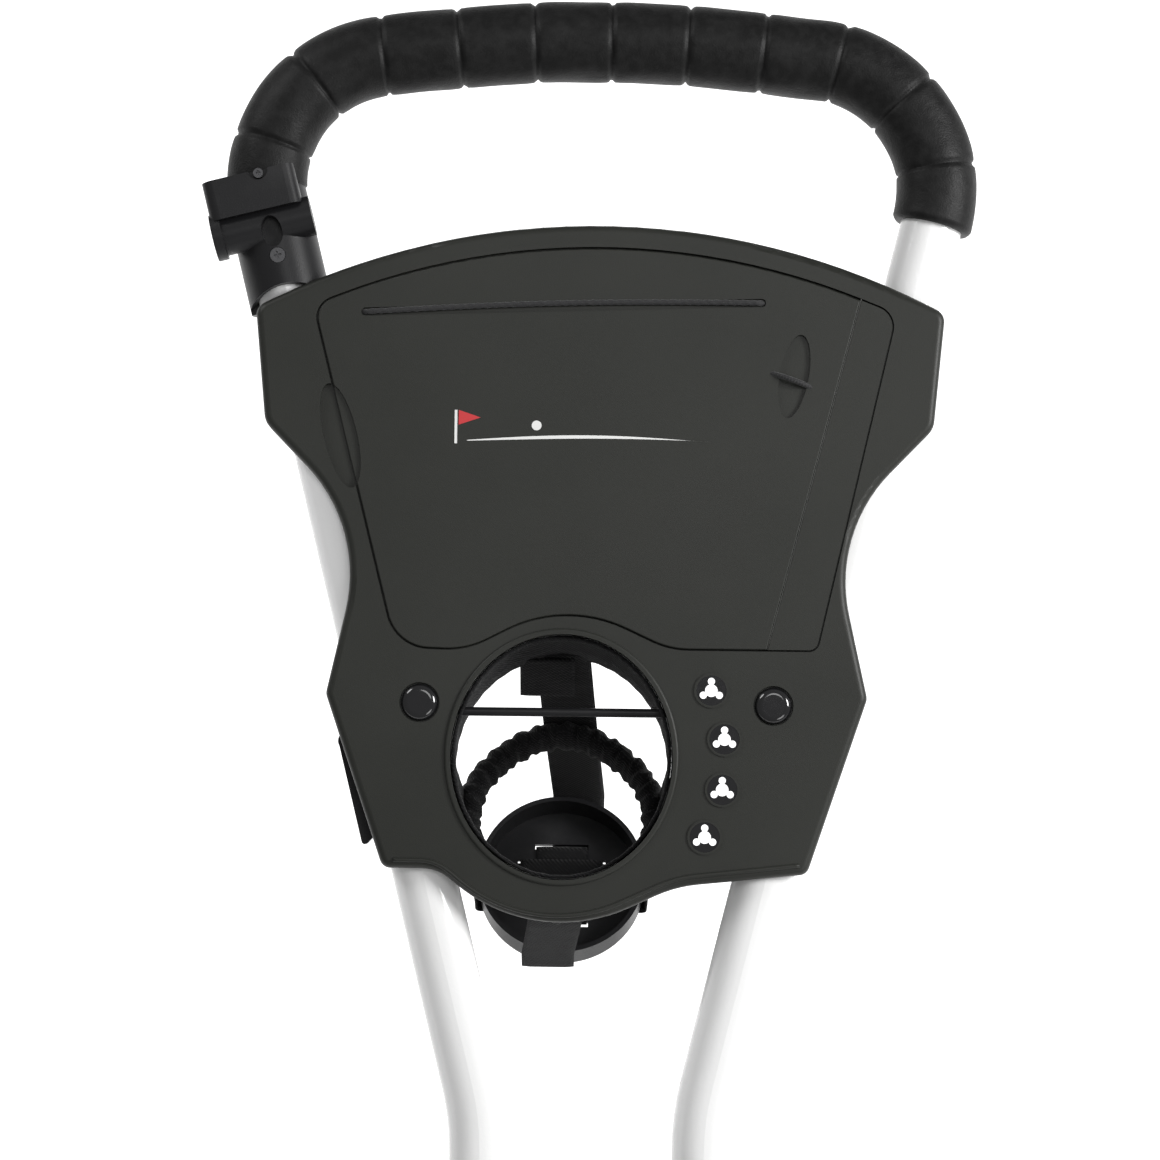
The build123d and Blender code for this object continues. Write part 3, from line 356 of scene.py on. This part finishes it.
def swept(path, radius_at, sides):
    """Vertices and faces of a capped tube along a path, in metres. radius_at(i, angle)."""
    verts, faces = [], []
    normal = None
    for i, point in enumerate(path):
        run = (path[min(i + 1, len(path) - 1)] - path[max(i - 1, 0)]).normalized()
        if normal is None:
            normal = run.orthogonal()
        normal = (normal - run * normal.dot(run)).normalized()
        other = run.cross(normal)
        for k in range(sides):
            angle = 2 * pi * k / sides
            spoke = normal * cos(angle) + other * sin(angle)
            verts.append(point + spoke * radius_at(i, angle))
        if i:
            low, high = (i - 1) * sides, i * sides
            for k in range(sides):
                m = (k + 1) % sides
                faces.append((low + k, low + m, high + m, high + k))
    faces.append(tuple(reversed(range(sides))))
    faces.append(tuple(range(len(path) * sides - sides, len(path) * sides)))
    return verts, faces


foam, shader, place = finish_of("grip_foam", (0.008, 0.008, 0.008), 0.6, gloss=0.22)
cell = noise(place, 1300, 3)
wrinkle = noise(place, 210, 5)
tint(shader, place, wrinkle.clamped(0.4, 0.7), (0.006, 0.006, 0.006), (0.012, 0.012, 0.012))
drive(shader, "Roughness", wrinkle * 0.22 + cell * 0.12 + 0.33)
relief(shader, cell * 0.35 + wrinkle * 0.65, 0.00045)
GRIP_START_V = CORNER_V - 69
LEFT_CUT = 14.0
RING_SHIFT = -2.6
GRIP_STEP = 1.0


def side_u(v):
    return HALF_GAP + (v - BEND_V) * tan(SPLAY)


grip_route = rounded(
    [
        (side_u(GRIP_START_V), GRIP_START_V), (CORNER_U, CORNER_V), (0, CROWN_V),
        (-CORNER_U, CORNER_V), (-side_u(GRIP_START_V), GRIP_START_V),
    ],
    [60, 600, 60],
    GRIP_STEP,
)
grip_route = grip_route[: len(grip_route) - int(LEFT_CUT / GRIP_STEP)]
grip_middle = len(grip_route) // 2


def grip_radius(i, angle):
    s = (i - grip_middle) * GRIP_STEP + RING_SHIFT
    ring = abs((s / RING_PITCH + 0.5) % 1 - 0.5) * RING_PITCH
    groove = 1.5 * max(0.0, 1 - ring / 1.5)
    barrel = 0.35 * max(0.0, 1 - ring / 7.0) ** 2
    dent = 0.32 * sin(s * 0.11 + 2 * angle) * sin(s * 0.037 + 1.3) * cos(angle * 3 + s * 0.05)
    end = min(i, len(grip_route) - 1 - i) * GRIP_STEP
    chamfer = max(0.0, 1.6 - end) * 0.9
    return (GRIP_RADIUS - groove - barrel + dent - 0.3 - chamfer) * MM


grip_path = [deck(p.x, p.y) for p in grip_route]
verts, faces = swept(grip_path, grip_radius, 72)
grip = build("foam_grip", verts, faces, foam, "handle")
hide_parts("handle_grip")

# ---- Edge bead -----------------------------------------------------------------------------
# A fine raised line moulded just inside the console's lower edge, round the drinks opening.
bead_route = rounded(
    [(90.5, 10), (36, 4), (-26.6, -24.6), (-70.5, 10.6), (-90.5, 10.6)], [56, 69, 20], 1.5
)
bead_path = [deck(p.x, p.y, 20.1) for p in bead_route]
verts, faces = swept(bead_path, lambda i, angle: 1.0 * MM, 12)
build("console_edge_bead", verts, faces, charcoal, "handle")

# ---- Lid print -----------------------------------------------------------------------------
# A small pad-printed picture on the lid: a flag beside a long fairway line and a ball.
PRINT_H, PRINT_THICK = 20.12, 0.1
print_white, shader, place = finish_of("print_white", (0.78, 0.78, 0.77), 0.4)
drive(shader, "Roughness", noise(place, 900, 2) * 0.2 + 0.3)
print_red, shader, place = finish_of("print_red", (0.55, 0.03, 0.035), 0.4)
drive(shader, "Roughness", noise(place, 900, 2) * 0.2 + 0.3)


def printed(name, outlines, material):
    verts, faces = [], []
    for outline in outlines:
        first = len(verts)
        count = len(outline)
        for level in (PRINT_H, PRINT_H - PRINT_THICK):
            verts += [deck(u, v, level) for u, v in outline]
        faces.append(tuple(range(first, first + count)))
        faces.append(tuple(reversed(range(first + count, first + 2 * count))))
        for k in range(count):
            m = (k + 1) % count
            faces.append((first + k, first + count + k, first + count + m, first + m))
    return build(name, verts, faces, material, "lid", smooth=False)


def disc(u, v, radius, sides=32):
    turns = [2 * pi * k / sides for k in range(sides)]
    return [(u + radius * cos(turn), v + radius * sin(turn)) for turn in turns]


FLAG_U, FLAG_V = -64, 196
POLE_HALF, POLE_TOP = 0.6, 15
pole = [
    (FLAG_U - POLE_HALF, FLAG_V), (FLAG_U + POLE_HALF, FLAG_V),
    (FLAG_U + POLE_HALF, FLAG_V + POLE_TOP), (FLAG_U - POLE_HALF, FLAG_V + POLE_TOP),
]
pennant = [(FLAG_U + 1.2, FLAG_V + 15), (FLAG_U + 1.2, FLAG_V + 8.4), (FLAG_U + 11, FLAG_V + 11.7)]
fairway_top = [
    (FLAG_U + 5 + 108 * t / 24, FLAG_V + 1.6 + 2.6 * sin(pi * t / 24)) for t in range(25)
]
fairway_low = [
    (u, v - 1.5 * sin(pi * min(1, 0.08 + t / 24))) for t, (u, v) in enumerate(fairway_top)
]
fairway = list(reversed(fairway_top)) + fairway_low
ball = disc(FLAG_U + 36, FLAG_V + 8.4, 2.2)
printed("lid_print_line", [pole, fairway, ball], print_white)
printed("lid_print_pennant", [list(reversed(pennant))], print_red)

# ---- Living hinge line ---------------------------------------------------------------------
# The thin web that joins the lid to its fixed strip, rubbed paler where it bends.
HINGE_FOOT, HINGE_HEAD = (75.7, 105.4), (117.0, 264.4)
web_finish, shader, place = finish_of("hinge_web", (0.06, 0.061, 0.057), 0.5)
drive(shader, "Roughness", noise(place, 1200, 2) * 0.2 + 0.38)
hinge_path = [
    deck(
        HINGE_FOOT[0] + (HINGE_HEAD[0] - HINGE_FOOT[0]) * t / 40,
        HINGE_FOOT[1] + (HINGE_HEAD[1] - HINGE_FOOT[1]) * t / 40,
        19.55,
    )
    for t in range(41)
]
verts, faces = swept(hinge_path, lambda i, angle: 0.32 * MM, 8)
build("lid_hinge_web", verts, faces, web_finish, "handle")

# ---- Elastics ------------------------------------------------------------------------------
# Round braided elastic: one holds a scorecard across the lid, one holds a pencil.
elastic, shader, place = finish_of("braided_elastic", (0.010, 0.010, 0.011), 0.7, sheen=0.2)
braid = noise(place, 2400, 2)
relief(shader, braid, 0.0002)
tint(shader, place, braid.clamped(0.4, 0.65), (0.007, 0.007, 0.008), (0.020, 0.020, 0.021))
CORD_RADIUS = 1.2


def braided(i, angle):
    return (CORD_RADIUS + 0.10 * sin(i * 1.6 + 2 * angle) + 0.08 * sin(i * 1.6 - 2 * angle)) * MM


card_path = []
for t in range(181):
    s = t / 180
    dip = max(0.0, 1 - min(s, 1 - s) / 0.02)
    card_path.append(deck(-107 + 181 * s, 254.7 + 5.9 * s + 2.0 * sin(pi * s), 19.9 - 2.0 * dip))
verts, faces = swept(card_path, braided, 14)
card = build("scorecard_elastic", verts, faces, elastic, "lid")
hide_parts("card_elastic")
pencil_path = []
for t in range(61):
    s = t / 60
    pencil_path.append(deck(76.3 + 18.4 * s, 229.3 - 6.5 * s, 18.8 + 3.2 * sin(pi * s)))
verts, faces = swept(pencil_path, braided, 14)
pencil = build("pencil_loop", verts, faces, elastic, "lid")
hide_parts("pencil_elastic")

# ---- Drinks holder webbing -----------------------------------------------------------------
# Four legs of woven polyester tape go under the dish and up to the console. Each is sewn
# with bar tacks at its ends, and the rear one has a folded tail.
cup_dir = Vector(joints["cup_slide"]["axis"])
CUP_DROP = 138
dish_centre = deck(-15.3, 56.9, 20) - cup_dir * (CUP_DROP * MM)
cup_back = cup_dir.cross(across)
webbing, shader, place = finish_of("webbing", (0.006, 0.006, 0.0065), 0.82, sheen=0.05, gloss=0.2)
rows = place.node(
    "ShaderNodeTexWave", {"bands_direction": "Z", "wave_profile": "SIN"},
    Vector=place, Scale=330.0, Distortion=1.2, Detail=1.0,
)
ribs = place.node(
    "ShaderNodeTexWave", {"bands_direction": "DIAGONAL", "wave_profile": "SIN"},
    Vector=place, Scale=300.0, Distortion=0.6, Detail=1.0,
)
relief(shader, rows * ribs, 0.00035)
tint(shader, place, rows * ribs, (0.0045, 0.0045, 0.005), (0.012, 0.012, 0.0125))


def cup(r_vector, r, z, w=0.0):
    """A point in the holder: r out along r_vector, z up its axis and w sideways."""
    sideways = r_vector.cross(cup_dir)
    return dish_centre + r_vector * (r * MM) + cup_dir * (z * MM) + sideways * (w * MM)


def strap(name, r_vector, line, width, thick, twist=0.0, shift=0.0, body="handle"):
    """A flat strap along a list of (r, z) places, smoothed, with slightly rounded edges.

    shift is how far it slants sideways from its top down to the dish."""
    fine = []
    for a, b in zip(line, line[1:]):
        steps = max(2, int(Vector((b[0] - a[0], b[1] - a[1])).length / 1.6))
        fine += [Vector(a).lerp(Vector(b), n / steps) for n in range(steps)]
    fine.append(Vector(line[-1]))
    for _ in range(3):
        inner = [(p + q * 2 + r) / 4 for p, q, r in zip(fine, fine[1:], fine[2:])]
        fine = [fine[0]] + inner + [fine[-1]]
    columns = 12
    verts, faces = [], []
    rim = []
    for k in range(columns + 1):
        w = (k / columns - 0.5) * width
        edge = min(k, columns - k) / columns
        rim.append((w, 0.5 * thick * min(1.0, 0.45 + edge * 4)))
    section = [(w, t) for w, t in rim] + [(w, -t) for w, t in reversed(rim)]
    for i, point in enumerate(fine):
        run = (fine[min(i + 1, len(fine) - 1)] - fine[max(i - 1, 0)]).normalized()
        side = Vector((run.y, -run.x))
        lean = twist * sin(pi * i / (len(fine) - 1))
        ripple = 0.12 * sin(i * 0.9)
        for w, t in section:
            place_ = point + side * (t + ripple * (w / width) + lean * w)
            slant = shift * min(1.0, max(0.0, 1 - place_.y / line[-1][1]))
            verts.append(cup(r_vector, place_.x, place_.y, w + slant))
        if i:
            count = len(section)
            low, high = (i - 1) * count, i * count
            for k in range(count):
                m = (k + 1) % count
                faces.append((low + k, high + k, high + m, low + m))
    count = len(section)
    faces.append(tuple(range(count)))
    faces.append(tuple(reversed(range(len(verts) - count, len(verts)))))
    return build(name, verts, faces, webbing, body)


WEB_WIDTH, WEB_THICK = 25, 1.4
legs = {
    "rear_web": (cup_back, [(14, -19), (40.9, -19), (41, -3), (46.5, 60), (58.5, 122)], 0.02, 8),
    "front_web": (-cup_back, [(14, -19), (40.9, -19), (41, -3), (41.8, 40), (39.5, 76)], -0.01, 6),
    "right_web": (across, [(14, -19), (40.9, -19), (41, -3), (44, 50), (48.5, 99)], 0.03, 0),
    "left_web": (-across, [(14, -19), (40.9, -19), (41, -3), (44, 50), (48.5, 99)], -0.03, 0),
}
straps = []
for name, (r_vector, line, twist, slant) in legs.items():
    straps.append(strap(name, r_vector, line, WEB_WIDTH, WEB_THICK, twist, slant))
tail = strap("rear_web_tail", cup_back, [(55.9, 121), (52.2, 108), (49.2, 97)], 25, 1.3, 0.05)
tail.data.transform(Matrix.Translation(-across * 7 * MM))
straps.append(tail)
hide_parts("cup_webbing")
cup_top = deck(-15.3, 56.9, -4)
for piece in straps:
    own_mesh(piece)

# ---- Webbing across the dish ---------------------------------------------------------------
# Where the tapes come up through the slots they cross on the dish's floor, one over the other.
crossings = (("floor_web_long", cup_back, -15.0), ("floor_web_cross", across, -13.5))
for name, r_vector, level in crossings:
    fold = [(-20, level - 1.2), (-17, level), (17, level), (20, level - 1.2)]
    strap(name, r_vector, fold, 25, 1.3, body="cup")

# ---- Webbing collar ------------------------------------------------------------------------
# A sewn collar lines the drinks opening, deepest at its back. The tapes hang from its hem.
COLLAR_A, COLLAR_B, COLLAR_FOOT, COLLAR_LEAN = 48.9, 53.9, -5.0, 17.0
collar_verts, collar_faces = [], []
AROUND = 180
for k in range(AROUND):
    angle = 2 * pi * k / AROUND
    u, v = -15.3 + COLLAR_A * cos(angle), 56.9 + COLLAR_B * sin(angle)
    pucker = 0.12 * sin(angle * 37)
    foot = COLLAR_FOOT + 3 * (1 - sin(angle))
    lean = COLLAR_LEAN * (1 + sin(angle)) / 2 + 0.5
    section = []
    for side, grow in ((0, 0.0), (1, -1.3)):
        gu, gv = u + (grow + pucker * side) * cos(angle), v + (grow + pucker * side) * sin(angle)
        upper, lower = deck(gu, gv, 15.5), deck(gu, gv, foot)
        hem = lower - cup_dir * (lean * MM)
        ring = [upper, lower, (lower + hem) / 2, hem]
        section += ring if side == 0 else list(reversed(ring))
    collar_verts += section
for k in range(AROUND):
    m = (k + 1) % AROUND
    for j in range(8):
        n = (j + 1) % 8
        collar_faces.append((k * 8 + j, k * 8 + n, m * 8 + n, m * 8 + j))
build("webbing_collar", collar_verts, collar_faces, webbing, "handle")

# ---- Gathered band -------------------------------------------------------------------------
# Elastic inside a gathered fabric sleeve, which hugs the can halfway up.
BAND_LEVEL, BAND_RADIUS, BAND_OUT, BAND_UP = 64, 43.0, 5.6, 9.0
band_verts, band_faces = [], []
AROUND, RISE = 480, 28
for k in range(AROUND):
    angle = 2 * pi * k / AROUND
    outward = across * cos(angle) + cup_back * sin(angle)
    sag = -3.0 * (1 - abs(cos(2 * angle))) + 0.8 * sin(5 * angle)
    for j in range(RISE):
        turn = 2 * pi * j / RISE
        fold = 0.75 * sin(angle * 38 + 1.1 * sin(turn)) + 0.55 * sin(angle * 23 - 2 * turn)
        fold += 0.35 * sin(angle * 61 + 3 * turn)
        swell = 1 + 0.11 * fold
        r = BAND_RADIUS + BAND_OUT * swell * cos(turn)
        z = BAND_LEVEL + sag + BAND_UP * swell * sin(turn)
        band_verts.append(dish_centre + outward * (r * MM) + cup_dir * (z * MM))
for k in range(AROUND):
    m = (k + 1) % AROUND
    for j in range(RISE):
        n = (j + 1) % RISE
        band_faces.append((k * RISE + j, k * RISE + n, m * RISE + n, m * RISE + j))
band = build("gathered_band", band_verts, band_faces, webbing, "handle")
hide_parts("cup_band")
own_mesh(band)

# ---- Tyres ---------------------------------------------------------------------------------
# Moulded foam tyres with two round grooves and slanted shoulder cuts.
def tyre(name, joint, radius, body):
    hub = Vector(joints[joint]["pos_m"])
    half, depth = 21.0, 28.0
    seat = radius - depth
    profile = [(-half + 5, seat), (-half + 1.5, seat + 2), (-half, seat + 8), (-half, radius - 12)]
    steps = 26
    for n in range(steps + 1):
        x = -half + 2 * half * n / steps
        profile.append((x, radius - 9.5 * (x / half) ** 2))
    profile += [(half, radius - 12), (half, seat + 8), (half - 1.5, seat + 2), (half - 5, seat)]
    turns = 432
    verts, faces = [], []
    for k in range(turns):
        angle = 2 * pi * k / turns
        for x, r in profile:
            ridge = 0.0
            if r > radius - 9.6:
                if 4.2 < abs(x) < 7.4:
                    ridge = 1.6
                phase = (angle * 24 / pi + abs(x) * 0.06) % 1
                if abs(x) > 9 and phase < 0.22:
                    ridge = 1.9
            rr = (r - ridge) * MM
            verts.append(hub + Vector((x * MM, rr * cos(angle), rr * sin(angle))))
    count = len(profile)
    for k in range(turns):
        m = (k + 1) % turns
        for j in range(count):
            n = (j + 1) % count
            faces.append((k * count + j, k * count + n, m * count + n, m * count + j))
    piece = build(name + "_tread", verts, faces, tread, body)
    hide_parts(name + "_tyre")


tyre("rear_left", "rear_left_wheel_spin", 145, "rear_left_wheel")
tyre("rear_right", "rear_right_wheel_spin", 145, "rear_right_wheel")
tyre("front", "front_wheel_spin", 120, "front_wheel")
